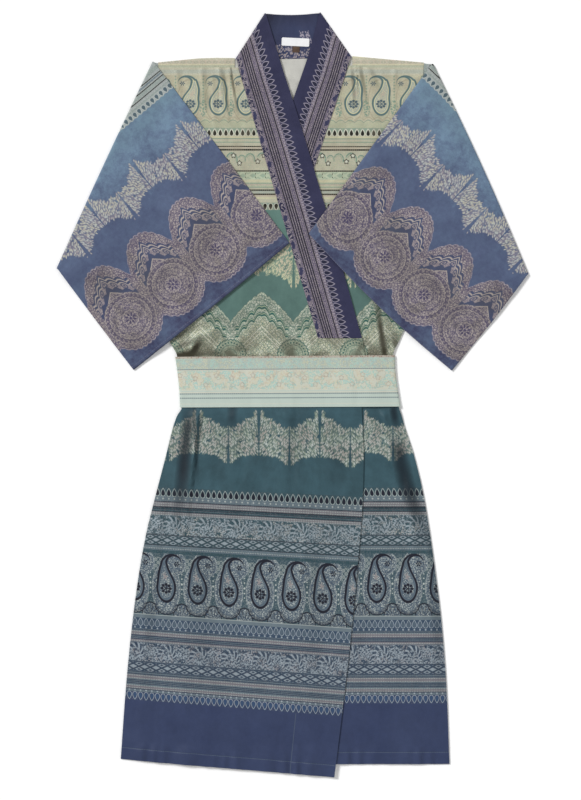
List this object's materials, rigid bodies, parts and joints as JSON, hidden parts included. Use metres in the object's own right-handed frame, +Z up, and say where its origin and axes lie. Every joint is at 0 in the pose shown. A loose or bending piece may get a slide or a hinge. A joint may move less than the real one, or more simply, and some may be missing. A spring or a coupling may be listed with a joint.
{
  "type": "kimono robe",
  "caption": "Wrap robe in the kimono cut, laid flat: sleeves folded over the front, crossed collar band, wide waist belt, open hem.",
  "frame": {"origin": "centre of the robe's outline in plan, on the surface that it lies on", "axes": "+Z up, away from the surface; +Y from the hem to the neck; +X towards the wearer's left, on the right of the front view"},
  "size_m": [0.8024, 1.3006, 0.0095],
  "materials": {
    "body_cloth": "printed satin, teal shading to navy at the hem",
    "sleeve_cloth": "printed satin, slate blue with a navy border",
    "collar_cloth": "printed satin, navy and mauve",
    "belt_cloth": "printed satin, pale cream and turquoise",
    "label_tape": "woven white tape, bare",
    "tab_tape": "woven brown tape, bare"
  },
  "bodies": {
    "root": {"back": "body_cloth", "right_front": "body_cloth", "left_front": "body_cloth", "right_overlap": "body_cloth", "left_overlap": "body_cloth", "collar_band": "collar_cloth", "right_sleeve": "sleeve_cloth", "left_sleeve": "sleeve_cloth", "belt": "belt_cloth", "neck_label": "label_tape", "size_tab": "tab_tape"}
  },
  "joints": []
}
